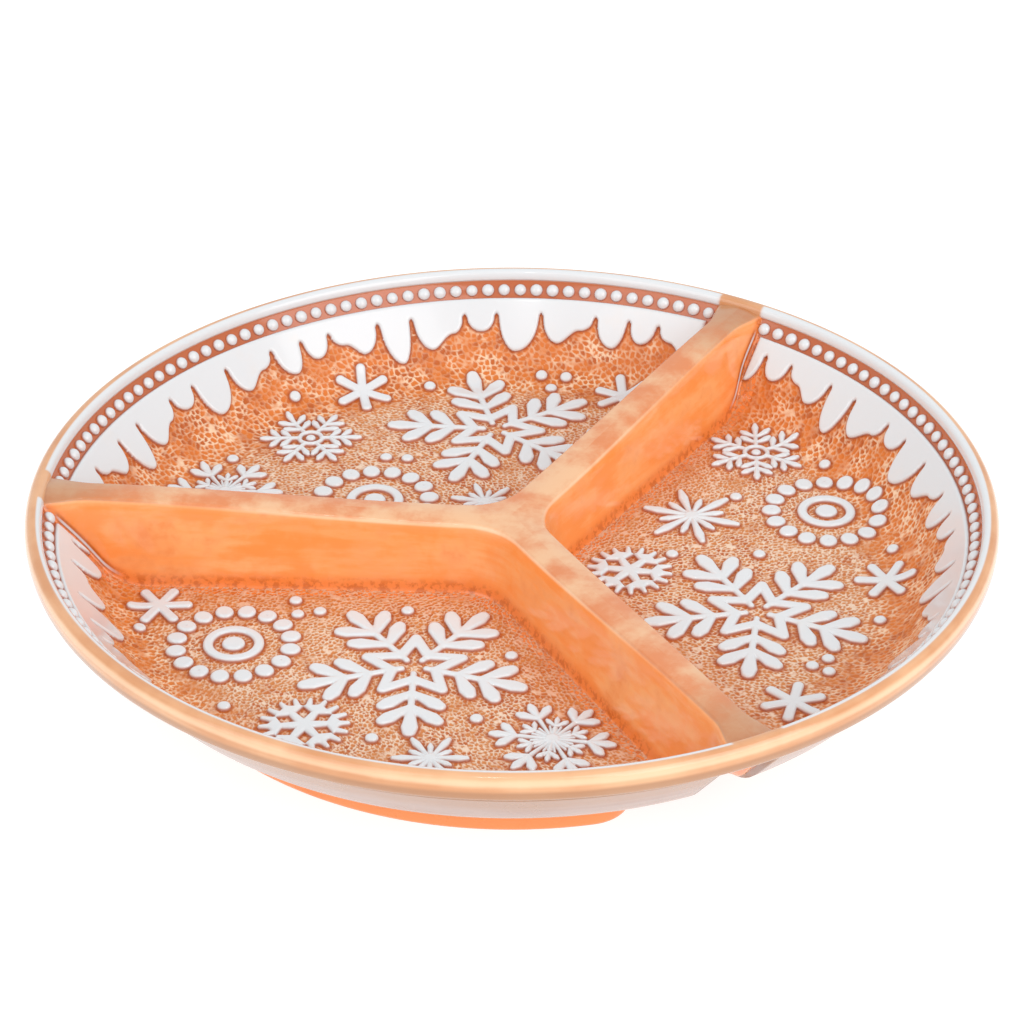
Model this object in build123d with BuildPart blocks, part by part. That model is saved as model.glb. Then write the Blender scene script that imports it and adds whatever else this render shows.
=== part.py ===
"""Round serving dish with three compartments, in millimetres.

+Z is up. The dish stands on Z = 0, and the origin is below the middle, where the three dividers meet.
Each compartment is a basin with sloping walls and its own foot. The dividers between the basins are hollow
underneath. White raised ornament lies on the basins: an icing edge, snowflakes, rosettes, stars and dots.
"""

import os
from math import asin, atan, cos, degrees, radians, sin, tan

from build123d import *

# Rim
rim_diameter = 305.0
rim_width = 9.2
rim_height = 9.0
rim_tuck = 1.6
rim_flat = 0.5
overall_height = 46.5

# Basins
floor_level = 16.0
wall_thickness = 4.5
wall_angle = 49.5
bowl_radius = 18.0
corner_radius = 5.0

# Dividers
divider_top_width = 10.0
divider_base_width = 22.0
divider_crest_drop = 1.8
divider_dip = 6.3
divider_cap = 5.5
divider_edge = 3.0
divider_cap_recess = 1.0
hub_corner_radius = 20.0
hub_radius = 32.0

# Feet
foot_diameter = 230.0
foot_width = 6.0
foot_corner_radius = 14.0
foot_side = 13.0

# Raised ornament
relief_height = 1.2
bead_diameter = 4.4
bead_pitch = 5.6
bead_end_space = 5.0
groove_width = 7.0
icing_side = 11.0
icing_notch_drop = 4.0
icing_long_drop = 13.0
icing_short_drop = 9.0
icing_narrow_drip = 6.0
icing_notch_angles = (53.5, 48.5, 41, 36, 28, 23, 16.5, 8.5, 3.5, -1, -8.5, -13, -21, -26, -32, -40, -44.5, -49)
large_flake_radius = 36.8
large_flake_stem = 2.5
large_flake_leaf = 12.0
large_flake_leaf_width = 4.8
leaf_angle = 48.0
large_flake_star = 17.6
large_flake_star_line = 3.2
rosette_radius = 18.0
rosette_bead_length = 6.4
rosette_bead_width = 5.0
rosette_ring_diameter = 19.4
rosette_ring_line = 3.3
rosette_dot_diameter = 6.8
ring_flake_radius = 17.5
ring_flake_stem = 1.8
ring_flake_ring_diameter = 9.0
ring_flake_dot_diameter = 3.4
lattice_flake_radius = 13.5
lattice_flake_plate = 10.8
lattice_flake_opening = 3.8
fern_flake_radius = 19.5
fern_flake_stem = 1.9
burst_radius = 16.0
burst_short_radius = 10.5
burst_petal_width = 3.2
small_burst_radius = 11.5
small_burst_short_radius = 7.5
small_burst_petal_width = 2.8
asterisk_diameter = 21.0
asterisk_stroke = 3.6
dot_diameter = 4.2

# Counts
compartment_count = 3
large_flake_arms = 5
flake_arms = 6
rosette_beads = 16
burst_petals = 6

# Worked out from the sizes above
rim_radius = rim_diameter / 2
seat_level = overall_height - rim_height
seat_radius = rim_radius - rim_width
slope = radians(wall_angle)
crest_level = overall_height - divider_crest_drop
hub_crest_level = crest_level - divider_dip
cap_level = hub_crest_level - divider_cap
draft = atan((divider_base_width - divider_top_width) / 2 / (crest_level - floor_level))
groove_top = seat_level + groove_width * sin(slope)
sky_level = overall_height + rim_height
compartment_angle = 360 / compartment_count
half_angle = radians(compartment_angle / 2)
arm_half_width = divider_base_width / 2 + corner_radius

# Where each compartment faces, as the direction of its middle
compartments = {"right": 0.0, "rear": compartment_angle, "front": 2 * compartment_angle}

# Where each divider runs, as its direction from the middle
divider_angles = {
    "rear": compartment_angle / 2,
    "left": 3 * compartment_angle / 2,
    "front": 5 * compartment_angle / 2,
}

# Where the ornament lies in each compartment, as (out from the middle, to the left, turn in degrees)
ornament_places = {
    "large_snowflake": {
        "right": [(77.9, -19.7, 48)],
        "rear": [(82.3, -36.9, 57.5)],
        "front": [(60.9, 2.9, 31)],
    },
    "rosette": {
        "right": [(101.5, 40.9, 0)],
        "rear": [(60.1, 19.4, 0)],
        "front": [(80.3, -51.2, 0)],
    },
    "ring_flake": {
        "right": [(79.2, 77.6, 30)],
        "rear": [(106.1, 21.1, 64)],
    },
    "lattice_flake": {
        "right": [(37.4, 2.7, -7.6)],
        "front": [(104.3, -7.8, 6.5)],
    },
    "fern_flake": {
        "rear": [(88.1, 60.9, 0)],
        "front": [(71.0, 58.9, 53)],
    },
    "burst": {
        "right": [(57.3, 36.3, 43)],
    },
    "small_burst": {
        "rear": [(42.2, -12.2, -11)],
        "front": [(98.4, 33.4, 2)],
    },
    "asterisks": {
        "right": [(119.2, -0.3, -1), (87.6, -68.6, 18)],
        "rear": [(124.2, -7.2, 44), (81.2, -86.2, 36)],
        "front": [(75.4, -83.5, 66)],
    },
    "dots": {
        "right": [
            (102, 69, 0),
            (72, 49, 0),
            (51, 13, 0),
            (79, 14, 0),
            (122, 17, 0),
            (116, -23, 0),
            (94, -49, 0),
            (99, -45, 0),
            (99, -52, 0),
        ],
        "rear": [
            (118, -30, 0),
            (105, -67, 0),
            (100, -74, 0),
            (98, -67, 0),
            (83, 4, 0),
            (79, -2, 0),
            (65, -65, 0),
            (127.5, 17, 0),
            (106, 50, 0),
        ],
        "front": [
            (50, -49, 0),
            (56, -44, 0),
            (51, -39, 0),
            (36, -16, 0),
            (40, 25, 0),
            (74, 34, 0),
            (99, 13, 0),
            (89, -81, 0),
            (109, -34, 0),
        ],
    },
}

os.makedirs("parts", exist_ok=True)


def ground_radius(level):
    """Radius of the basin's sloping wall at a level."""
    return seat_radius + (level - seat_level) / tan(slope)


def sector_sketch(distance, reach):
    """Corner between two dividers, with its sides at a distance from the dividers' middle planes."""
    apex = distance / sin(half_angle)
    far = apex + reach * cos(half_angle)
    side = reach * sin(half_angle)
    Polygon((apex, 0), (far, side), (far, -side), align=None)


def compartment_space(inset):
    """Space of the compartment that faces +X, with its floor and walls moved inward by inset."""
    floor = floor_level + inset
    wall_foot = ground_radius(floor) - inset / sin(slope)
    wall_top = wall_foot + (sky_level - floor) / tan(slope)
    side_at_table = divider_base_width / 2 + floor_level * tan(draft) + inset / cos(draft)
    with BuildPart() as space:
        # The profile lies on the far side of the axis, so that no seam crosses the compartment
        with BuildSketch(Plane.XZ) as profile:
            Polygon((0, floor), (-wall_foot, floor), (-wall_top, sky_level), (0, sky_level), align=None)
            wall_corner = profile.vertices().group_by(Axis.Y)[0].sort_by(Axis.X)[0]
            fillet(wall_corner, bowl_radius - inset)
        revolve(axis=Axis.Z)
        with BuildSketch():
            sector_sketch(side_at_table, rim_diameter)
        extrude(amount=sky_level, taper=-degrees(draft), mode=Mode.INTERSECT)
        fillet(space.edges().sort_by(Axis.X)[0], hub_corner_radius - inset)
        level_faces = space.faces().filter_by(Axis.Z)
        round_faces = space.faces().filter_by(GeomType.TORUS) + space.faces().filter_by(GeomType.CONE)
        bowl_faces = level_faces.sort_by(Axis.Z)[:1] + round_faces
        side_faces = space.faces() - bowl_faces - level_faces
        fillet(bowl_faces.edges() & side_faces.edges(), corner_radius - inset)
    return space.part


def turned(shape, angle):
    """Copy of a shape, turned about the middle of the dish."""
    return shape.rotate(Axis.Z, angle)


def plan_radius(edge):
    """Distance of an edge's middle from the axis of the dish."""
    middle = edge.center()
    return Vector(middle.X, middle.Y).length


def petal(base, tip, neck, width):
    """Petal along +X that widens from a narrow neck to a round end."""
    middle = tip - width / 2
    Polygon((base, -neck / 2), (middle, -width / 2), (middle, width / 2), (base, neck / 2), align=None)
    with Locations((middle, 0)):
        Circle(width / 2)


def barbs(place, length, neck, width, angle):
    """Pair of petals that branch off a stem along +X."""
    with Locations(Location((place, 0), angle), Location((place, 0), -angle)):
        petal(0, length, neck, width)


def star_points(tip, valley, count):
    """Corners of a star whose valleys lie on +X and on its turns."""
    step = radians(180 / count)
    return [
        (radius * cos(2 * i * step + turn), radius * sin(2 * i * step + turn))
        for i in range(count)
        for radius, turn in ((valley, 0), (tip, step))
    ]


def large_snowflake():
    """Snowflake with an open star in its middle and two pairs of leaves on each arm."""
    line = large_flake_star_line
    valley = large_flake_star * 0.6
    with BuildSketch() as flake:
        Polygon(*star_points(large_flake_star, valley, large_flake_arms), align=None)
        inner = star_points(large_flake_star - 2 * line, valley - line, large_flake_arms)
        Polygon(*inner, align=None, mode=Mode.SUBTRACT)
        with PolarLocations(0, large_flake_arms):
            petal(line, large_flake_radius, large_flake_stem, large_flake_leaf_width)
            leaf = (large_flake_leaf, large_flake_stem, large_flake_leaf_width, leaf_angle)
            barbs(large_flake_radius * 0.4, *leaf)
            barbs(large_flake_radius * 0.6, *leaf)
    return flake.sketch


def rosette():
    """Ring of oval beads round a ring and a dot."""
    ring = rosette_ring_diameter / 2
    with BuildSketch() as flower:
        with PolarLocations(rosette_radius, rosette_beads):
            Ellipse(rosette_bead_length / 2, rosette_bead_width / 2)
        Circle(ring)
        Circle(ring - rosette_ring_line, mode=Mode.SUBTRACT)
        Circle(rosette_dot_diameter / 2)
    return flower.sketch


def ring_flake():
    """Snowflake with fern arms round a ring and a dot."""
    ring = ring_flake_ring_diameter / 2
    stem = ring_flake_stem
    with BuildSketch() as flake:
        Circle(ring)
        Circle(ring - stem, mode=Mode.SUBTRACT)
        Circle(ring_flake_dot_diameter / 2)
        with PolarLocations(0, flake_arms):
            petal(ring - stem / 2, ring_flake_radius, stem, 1.2 * stem)
            for share in (0.42, 0.58, 0.74):
                length = ring_flake_radius * (1 - share) * 0.55 + stem
                barbs(ring_flake_radius * share, length, stem, stem, leaf_angle)
    return flake.sketch


def lattice_flake():
    """Six-sided plate with a diamond opening on each side and short points round its edge."""
    side = lattice_flake_plate * cos(radians(180 / flake_arms))
    point = lattice_flake_opening / 2
    with BuildSketch() as flake:
        RegularPolygon(lattice_flake_plate, flake_arms)
        with PolarLocations(side * 0.62, flake_arms, start_angle=180 / flake_arms):
            Polygon((-1.3 * point, 0), (0, -point), (1.3 * point, 0), (0, point), align=None, mode=Mode.SUBTRACT)
        with PolarLocations(0, 3 * flake_arms):
            petal(side * 0.9, lattice_flake_radius, point, 0.9 * point)
    return flake.sketch


def fern_flake():
    """Snowflake with fern arms and a sunburst in its middle."""
    stem = fern_flake_stem
    with BuildSketch() as flake:
        with PolarLocations(0, 2 * flake_arms, start_angle=90 / flake_arms):
            petal(0, fern_flake_radius * 0.42, stem / 2, stem)
        with PolarLocations(0, flake_arms):
            petal(0, fern_flake_radius, stem, 1.3 * stem)
            barbs(fern_flake_radius * 0.5, fern_flake_radius * 0.34, stem, 1.2 * stem, leaf_angle)
            barbs(fern_flake_radius * 0.68, fern_flake_radius * 0.3, stem, 1.2 * stem, leaf_angle)
    return flake.sketch


def burst(radius, short_radius, width):
    """Star of long petals with short ones between them."""
    with BuildSketch() as star:
        with PolarLocations(0, burst_petals):
            petal(0, radius, width / 2, width)
        with PolarLocations(0, burst_petals, start_angle=180 / burst_petals):
            petal(0, short_radius, width / 2, width)
    return star.sketch


def asterisk():
    """Three crossed strokes with round ends."""
    with BuildSketch() as star:
        with PolarLocations(0, flake_arms // 2, angular_range=180):
            SlotOverall(asterisk_diameter, asterisk_stroke)
    return star.sketch


def dot():
    """Round spot."""
    with BuildSketch() as spot:
        Circle(dot_diameter / 2)
    return spot.sketch


def raised(outline, places):
    """Ornament on the basin that faces +X, with one copy of the outline at each place."""
    with BuildPart() as ornament:
        with BuildSketch():
            with Locations(*[Location((out, left), turn) for out, left, turn in places]):
                add(outline)
        extrude(amount=sky_level)
        add(relief_layer, mode=Mode.INTERSECT)
    return ornament.part


def wall_point(angle, level):
    """Place in plan of a point on the basin's sloping wall."""
    radius = ground_radius(level)
    return (radius * cos(radians(angle)), radius * sin(radians(angle)))


inner_space = compartment_space(0)
outer_space = compartment_space(-wall_thickness)
relief_layer = inner_space - compartment_space(relief_height)

# Rolled rim with the groove for the beads on its inner slope
lip_offset = (relief_height * sin(slope), relief_height * cos(slope))
groove_edge = (ground_radius(groove_top), groove_top)
lip_edge = (groove_edge[0] - lip_offset[0], groove_edge[1] + lip_offset[1])
lip_top_radius = lip_edge[0] + (overall_height - lip_edge[1]) / tan(slope)
roll_radius = rim_radius - lip_top_radius - rim_flat
widest = (rim_radius, overall_height - roll_radius)
with BuildPart() as rim:
    with BuildSketch(Plane.XZ):
        with BuildLine():
            roll = JernArc(widest, (0, 1), roll_radius, 90)
            Polyline(roll @ 1, (lip_top_radius, overall_height), lip_edge, groove_edge, (seat_radius, seat_level))
            band_foot = (rim_radius - rim_tuck, seat_level)
            Line((seat_radius, seat_level), band_foot)
            TangentArc(widest, band_foot, tangent=(0, -1))
        make_face()
    revolve(axis=Axis.Z)
rim.part.label = "rim"
export_step(rim.part, "parts/rim.step")

# Everything below the dividers' crest, which dips towards the middle. It reaches a little into the rim
rim_overlap = rim_width / 4
crest_end = (ground_radius(crest_level) + rim_overlap, crest_level)
with BuildPart() as below_crest:
    with BuildSketch(Plane.XZ):
        with BuildLine():
            Spline((0, hub_crest_level), crest_end, tangents=((1, 0), (1, 0)))
            Polyline(
                crest_end,
                (seat_radius + rim_overlap, seat_level),
                (rim_radius, seat_level),
                (rim_radius, 0),
                (0, 0),
                (0, hub_crest_level),
            )
        make_face()
    revolve(axis=Axis.Z)

# Space between two dividers at the height of the rim, which takes the place of the basin's walls there
with BuildPart() as rim_space:
    with BuildSketch():
        sector_sketch(divider_base_width / 2 + floor_level * tan(draft), rim_diameter)
    extrude(amount=sky_level, taper=-degrees(draft))
    with BuildSketch(Plane.XY.offset(seat_level)):
        Circle(rim_diameter)
        Circle(seat_radius - rim_diameter / 8, mode=Mode.SUBTRACT)
    extrude(amount=sky_level, mode=Mode.INTERSECT)

# Space underneath the dividers, between the outsides of the basins
wall_offset = wall_thickness / sin(slope) - divider_cap_recess
with BuildPart() as under_space:
    with BuildSketch(Plane.XZ):
        Polygon(
            (0, -wall_thickness),
            (rim_diameter, -wall_thickness),
            (rim_diameter, seat_level),
            (ground_radius(seat_level) + wall_offset, seat_level),
            (ground_radius(cap_level) + wall_offset, cap_level),
            (0, cap_level),
            align=None,
        )
    revolve(axis=Axis.Z)
    for direction in compartments.values():
        add(turned(outer_space, direction), mode=Mode.SUBTRACT)

# The bowl in one piece, before it is parted into basins, dividers and hub
with BuildPart() as bowl:
    add(below_crest.part)
    open_space = inner_space + rim_space.part
    for direction in compartments.values():
        add(turned(open_space, direction), mode=Mode.SUBTRACT)
    add(under_space.part, mode=Mode.SUBTRACT)
    add(rim.part, mode=Mode.SUBTRACT)

# Basin that faces +X
with BuildPart() as basin:
    add(bowl.part)
    with BuildSketch():
        sector_sketch(arm_half_width, rim_diameter)
    extrude(amount=seat_level, mode=Mode.INTERSECT)

# Divider along +X, from the hub to the rim
with BuildPart() as divider:
    add(turned(bowl.part, -compartment_angle / 2))
    with BuildSketch():
        Rectangle(rim_radius, 2 * arm_half_width, align=(Align.MIN, Align.CENTER))
        Circle(hub_radius, mode=Mode.SUBTRACT)
    extrude(amount=sky_level, mode=Mode.INTERSECT)
    crest_edges = divider.edges().filter_by(lambda edge: edge.center().Z > hub_crest_level)
    fillet(crest_edges.sort_by(SortBy.LENGTH)[-2:], divider_edge)

# Hub where the dividers meet
with BuildPart() as hub:
    add(bowl.part)
    with BuildSketch():
        with PolarLocations(0, compartment_count, start_angle=compartment_angle / 2):
            Rectangle(hub_radius, 2 * arm_half_width, align=(Align.MIN, Align.CENTER))
        Circle(hub_radius, mode=Mode.INTERSECT)
    extrude(amount=sky_level, mode=Mode.INTERSECT)
    crest_edges = hub.edges().filter_by(lambda edge: edge.center().Z > hub_crest_level)
    inner_edges = crest_edges.filter_by(lambda edge: round(plan_radius(edge), 3) < hub_radius)
    fillet(inner_edges, divider_edge)
hub.part.label = "divider_hub"
export_step(hub.part, "parts/divider_hub.step")

# Foot under the basin that faces +X, shaped to the basin's underside
with BuildPart() as foot:
    with BuildSketch() as outline:
        Circle(foot_diameter / 2)
        with BuildSketch(mode=Mode.INTERSECT):
            sector_sketch(foot_side, rim_diameter)
        fillet(outline.vertices(), foot_corner_radius)
        offset(amount=-foot_width, mode=Mode.SUBTRACT)
    extrude(amount=floor_level)
    add(outer_space, mode=Mode.SUBTRACT)

for name, angle in compartments.items():
    for kind, piece in (("basin", basin), ("foot", foot)):
        placed = turned(piece.part, angle)
        placed.label = f"{kind}_{name}"
        export_step(placed, f"parts/{kind}_{name}.step")

for name, angle in divider_angles.items():
    placed = turned(divider.part, angle)
    placed.label = f"divider_{name}"
    export_step(placed, f"parts/divider_{name}.step")

# Icing that hangs in drips from the rim of the basin that faces +X
notch_level = seat_level - icing_notch_drop
# A cubic curve comes this share of the way to its two middle points
curve_share = 0.75
with BuildPart() as icing:
    with BuildSketch():
        sector_sketch(icing_side, rim_diameter)
        with BuildSketch(mode=Mode.SUBTRACT):
            with BuildLine():
                for left, right in zip(icing_notch_angles, icing_notch_angles[1:]):
                    drop = icing_long_drop if left - right < icing_narrow_drip else icing_short_drop
                    pull_level = notch_level - (drop - icing_notch_drop) / curve_share
                    Bezier(
                        wall_point(left, notch_level),
                        wall_point(left, pull_level),
                        wall_point(right, pull_level),
                        wall_point(right, notch_level),
                    )
                left_end = wall_point(degrees(half_angle), notch_level)
                right_end = wall_point(-degrees(half_angle), notch_level)
                first_notch = wall_point(icing_notch_angles[0], notch_level)
                last_notch = wall_point(icing_notch_angles[-1], notch_level)
                Polyline(last_notch, right_end, (0, 0), left_end, first_notch)
            make_face()
    extrude(amount=seat_level)
    add(relief_layer, mode=Mode.INTERSECT)

# Row of beads in the groove above the basin that faces +X
bead_level = seat_level + groove_width / 2 * sin(slope)
bead_circle = ground_radius(bead_level)
divider_side = divider_top_width / 2 + (crest_level - bead_level) * tan(draft)
bead_range = compartment_angle - 2 * degrees(asin((divider_side + bead_end_space) / bead_circle))
bead_count = 1 + int(radians(bead_range) * bead_circle / bead_pitch)
with BuildPart() as beads:
    with Locations((0, 0, bead_level)):
        with PolarLocations(bead_circle, bead_count, -bead_range / 2, bead_range, endpoint=True):
            Sphere(bead_diameter / 2)
    add(rim.part, mode=Mode.SUBTRACT)

for name, angle in compartments.items():
    for kind, piece in (("icing", icing), ("beads", beads)):
        placed = turned(piece.part, angle)
        placed.label = f"{kind}_{name}"
        export_step(placed, f"parts/{kind}_{name}.step")

# Ornament on the basins
ornament_outlines = {
    "large_snowflake": large_snowflake(),
    "rosette": rosette(),
    "ring_flake": ring_flake(),
    "lattice_flake": lattice_flake(),
    "fern_flake": fern_flake(),
    "burst": burst(burst_radius, burst_short_radius, burst_petal_width),
    "small_burst": burst(small_burst_radius, small_burst_short_radius, small_burst_petal_width),
    "asterisks": asterisk(),
    "dots": dot(),
}
for kind, outline in ornament_outlines.items():
    for name, places in ornament_places[kind].items():
        placed = turned(raised(outline, places), compartments[name])
        placed.label = f"{kind}_{name}"
        export_step(placed, f"parts/{kind}_{name}.step")
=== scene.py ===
"""Looks of a round ceramic serving bowl with three compartments.

The modelling functions work in millimetres, and a mesh is turned into metres when it is made.
What repeats in the compartments is modelled facing +X and then turned to its place.
"""

from functools import reduce
from math import asin, atan2, cos, degrees, hypot, pi, radians, sin, tan
from types import SimpleNamespace

import bpy
import numpy as np
from bpy.props import FloatProperty, FloatVectorProperty, PointerProperty
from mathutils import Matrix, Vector


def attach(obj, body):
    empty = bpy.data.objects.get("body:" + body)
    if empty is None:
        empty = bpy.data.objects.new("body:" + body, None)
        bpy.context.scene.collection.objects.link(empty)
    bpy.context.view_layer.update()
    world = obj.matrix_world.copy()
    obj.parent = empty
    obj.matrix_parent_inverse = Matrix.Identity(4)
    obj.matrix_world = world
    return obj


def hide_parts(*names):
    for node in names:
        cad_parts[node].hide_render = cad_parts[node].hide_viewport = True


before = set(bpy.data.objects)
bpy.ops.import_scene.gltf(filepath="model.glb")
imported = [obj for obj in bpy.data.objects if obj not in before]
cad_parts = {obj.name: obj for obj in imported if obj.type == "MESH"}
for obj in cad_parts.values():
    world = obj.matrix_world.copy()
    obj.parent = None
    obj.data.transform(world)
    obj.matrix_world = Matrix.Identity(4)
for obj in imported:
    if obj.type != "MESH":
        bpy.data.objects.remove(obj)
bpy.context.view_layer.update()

bl_info = {
    "name": "Divided Serving Bowl",
    "version": (1, 0, 0),
    "blender": (4, 5, 0),
    "location": "View3D > Sidebar > Serving Bowl",
    "description": "Glazed serving bowl with three compartments and raised winter ornament",
    "category": "Add Mesh",
}

MM = 0.001
BODY = "root"
COMPARTMENTS = {"right": 0.0, "rear": 120.0, "front": 240.0}
HALF_ANGLE = radians(60)
# Half the width of a notch in the icing, in degrees
NOTCH_GAP = 0.28

# Where the ornament lies in each compartment, as (out from the middle, to the left, turn in degrees)
PLACES = {
    "large_snowflake": {
        "right": [(77.9, -19.7, 48)],
        "rear": [(82.3, -36.9, 57.5)],
        "front": [(60.9, 2.9, 31)],
    },
    "rosette": {"right": [(101.5, 40.9, 0)], "rear": [(60.1, 19.4, 0)], "front": [(80.3, -51.2, 0)]},
    "ring_flake": {"right": [(79.2, 77.6, 30)], "rear": [(106.1, 21.1, 64)]},
    "lattice_flake": {"right": [(37.4, 2.7, -7.6)], "front": [(104.3, -7.8, 6.5)]},
    "fern_flake": {"rear": [(88.1, 60.9, 0)], "front": [(71.0, 58.9, 53)]},
    "burst": {"right": [(57.3, 36.3, 43)]},
    "small_burst": {"rear": [(42.2, -12.2, -11)], "front": [(98.4, 33.4, 2)]},
    "asterisks": {
        "right": [(119.2, -0.3, -1), (87.6, -68.6, 18)],
        "rear": [(124.2, -7.2, 44), (81.2, -86.2, 36)],
        "front": [(75.4, -83.5, 66)],
    },
}
# Where the dots lie, as (out from the middle, to the left)
DOTS = {
    "right": [(102, 69), (72, 49), (51, 13), (79, 14), (122, 17)]
    + [(116, -23), (94, -49), (99, -45), (99, -52)],
    "rear": [(118, -30), (105, -67), (100, -74), (98, -67), (83, 4)]
    + [(79, -2), (65, -65), (127.5, 17), (106, 50)],
    "front": [(50, -49), (56, -44), (51, -39), (36, -16), (40, 25)]
    + [(74, 34), (99, 13), (89, -81), (109, -34)],
}
PLACES["dots"] = {name: [(*place, 0) for place in places] for name, places in DOTS.items()}

# Drips of one length of icing, which repeats along the rim. Each has its width in degrees and its lobes, as
# (degrees from the drip's first notch, depth below the rim's seat in millimetres)
DRIPS = (
    (7.5, ((2.2, 10.1), (4.8, 14.6))),
    (5.0, ((2.9, 20.3),)),
    (7.8, ((2.7, 16.6), (5.9, 11.6))),
    (4.6, ((2.4, 11.3),)),
    (6.4, ((2.7, 18.5),)),
    (7.9, ((2.6, 15.3), (5.7, 10.3))),
    (4.9, ((2.9, 15.4),)),
    (4.4, ((2.1, 12.5),)),
)
# Direction of the first notch, in degrees from the compartment's middle, and a factor for the depths
ICING = {"right": (49.2, 1.0), "rear": (47.8, 1.0), "front": (38.0, 1.3)}
# How far the raised ornament and icing reach down into the basins, in millimetres
SINK = 0.7

# Lamps of the stage, as (place in metres, property of the power, width in metres)
LAMPS = {
    "stage_soft_box_left": ((-1.05, -1.0, 1.0), "left_box", 1.4),
    "stage_soft_box_right": ((1.05, -1.0, 1.0), "right_box", 1.4),
    "stage_spark": ((-0.05, -0.65, 1.2), "spark", 0.08),
}
# Width of the stage's floor in metres, and of the camera's sensor in millimetres
STAGE_WIDTH, SENSOR_WIDTH = 6, 36


def amount(name, description, default, **settings):
    """Number property, with its unit or subtype."""
    return FloatProperty(name=name, description=description, default=default, **settings)


def length(name, description, millimetres):
    """Length property with its default in millimetres."""
    return amount(name, description, millimetres * MM, unit="LENGTH", precision=4)


def tint(name, description, red, green, blue):
    """Colour property with its default as a screen colour from 0 to 255."""
    shares = [value / 255 for value in (red, green, blue)]
    linear = [share / 12.92 if share < 0.04045 else ((share + 0.055) / 1.055) ** 2.4 for share in shares]
    return FloatVectorProperty(
        name=name, description=description, default=linear, subtype="COLOR", size=3, min=0, max=1
    )


class BowlForm(bpy.types.PropertyGroup):
    """Sizes of the bowl."""

    rim_radius: length("Rim radius", "Radius of the bowl at the widest point of its rim", 152.5)
    overall_height: length("Overall height", "Height of the rim's top above the table", 46.5)
    seat_level: length("Seat level", "Height where the rim sits on the basins", 37.5)
    seat_radius: length("Seat radius", "Inner radius of the rim where it sits on the basins", 143.3)
    rim_tuck: length("Rim tuck", "How far the rim's lower edge draws in", 1.6)
    lip_height: length("Lip height", "Rise of the lip above the groove for the beads", 1.2)
    lip_edge: length("Lip edge", "Radius where the white lip changes to tan", 149.7)
    groove_width: length("Groove width", "Width of the groove for the beads", 7.0)
    floor_level: length("Floor level", "Height of the basins' floor above the table", 16.0)
    wall_thickness: length("Wall thickness", "Thickness of the basins", 4.5)
    wall_run: length("Wall run", "Width in plan of the straight wall between its curve and the rim", 13.0)
    bowl_curve: length("Bowl curve", "Radius of the curve between floor and wall", 18.0)
    divider_top: length("Divider top", "Half width of a divider at its crest", 5.0)
    divider_base: length("Divider base", "Half width of a divider at the floor", 11.0)
    divider_wall: length("Divider wall", "Thickness of the dividers' hollow wall", 3.0)
    crest_level: length("Crest level", "Height of the dividers' crest at the rim", 44.7)
    crest_dip: length("Crest dip", "How much lower the crest is in the middle", 6.3)
    hub_corner: length("Hub corner", "Radius of the corners where two dividers meet", 20.0)
    foot_radius: length("Foot radius", "Radius of the feet's outer edge", 115.0)
    foot_side: length("Foot side", "Distance of a foot from the divider's middle", 13.0)
    foot_width: length("Foot width", "Thickness of the feet", 6.0)
    foot_corner: length("Foot corner", "Radius of the feet's corners", 14.0)
    lip_drift: length("Lip drift", "How much narrower the white of the lip is on the left", 0.8)
    icing_lap: length("Icing lap", "How far the icing reaches over the groove's lower edge", 0.7)
    icing_gap: length("Icing gap", "Gap between a divider's crest and the icing's end", 4.6)
    notch_depth: length("Notch depth", "Depth of the icing's notches below the rim's seat", 5.8)
    relief: length("Relief", "Rise of the ornament above the ground", 1.2)
    shoulder: length("Shoulder", "Width of the ornament's rounded shoulders", 1.0)
    bead_radius: length("Bead radius", "Radius of a bead on the rim", 2.2)
    bead_pitch: length("Bead pitch", "Spacing of the beads on the rim", 5.6)
    pebble: length("Pebble", "Size of the pits in the ground on the floor", 1.55)
    wall_pebble: length("Wall pebble", "Size of the pits in the ground on the wall", 2.05)
    pebble_depth: length("Pebble depth", "Depth of the pits in the ground", 0.42)
    halo: length("Halo", "Width of the stain round the ornament", 0.9)
    icing_halo: length("Icing halo", "Width of the stain below the icing", 0.65)


class BowlGlaze(bpy.types.PropertyGroup):
    """Colours of the glazes."""

    white: tint("White", "Raised ornament, icing and lip", 222, 226, 229)
    stain: tint("Stain", "Brown that gathers round the ornament", 184, 88, 28)
    ridge: tint("Ridge", "Ridges of the ground on the floor", 238, 212, 188)
    wall_ridge: tint("Wall ridge", "Ridges of the ground on the wall", 246, 212, 178)
    pit: tint("Pit", "Pits of the ground on the floor", 208, 130, 70)
    wall_pit: tint("Wall pit", "Pits of the ground on the wall", 218, 120, 46)
    orange: tint("Orange", "Faces of the dividers", 252, 150, 74)
    pale_orange: tint("Pale orange", "Where the dividers' glaze is thin", 255, 180, 116)
    deep_orange: tint("Deep orange", "Where the dividers' glaze is thick", 234, 122, 50)
    crest: tint("Crest", "Crests of the dividers", 224, 134, 78)
    # Painted highlight: the cream line along the dividers' crest edges and the pale band along the rim's roll
    pale_edge: tint("Pale edge", "Edges of the dividers, where the glaze is thinnest", 255, 220, 182)
    tan: tint("Tan", "Rim", 210, 146, 98)
    pale_tan: tint("Pale tan", "Where the rim's glaze is thin", 236, 186, 142)
    # Deep tan is painted shade at the rim's lower edge and on the outside just below the rim; it also darkens
    # the crests' ends near the rim
    deep_tan: tint("Deep tan", "Where the rim's glaze gathers at its lower edge", 168, 118, 80)
    groove: tint("Groove", "Groove of the beads", 186, 86, 28)
    outside: tint("Outside", "Outside of the basins", 176, 145, 132)
    outside_ring: tint("Outside ring", "Turning rings on the outside", 156, 114, 94)
    foot: tint("Foot", "Feet", 246, 148, 84)


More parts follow.
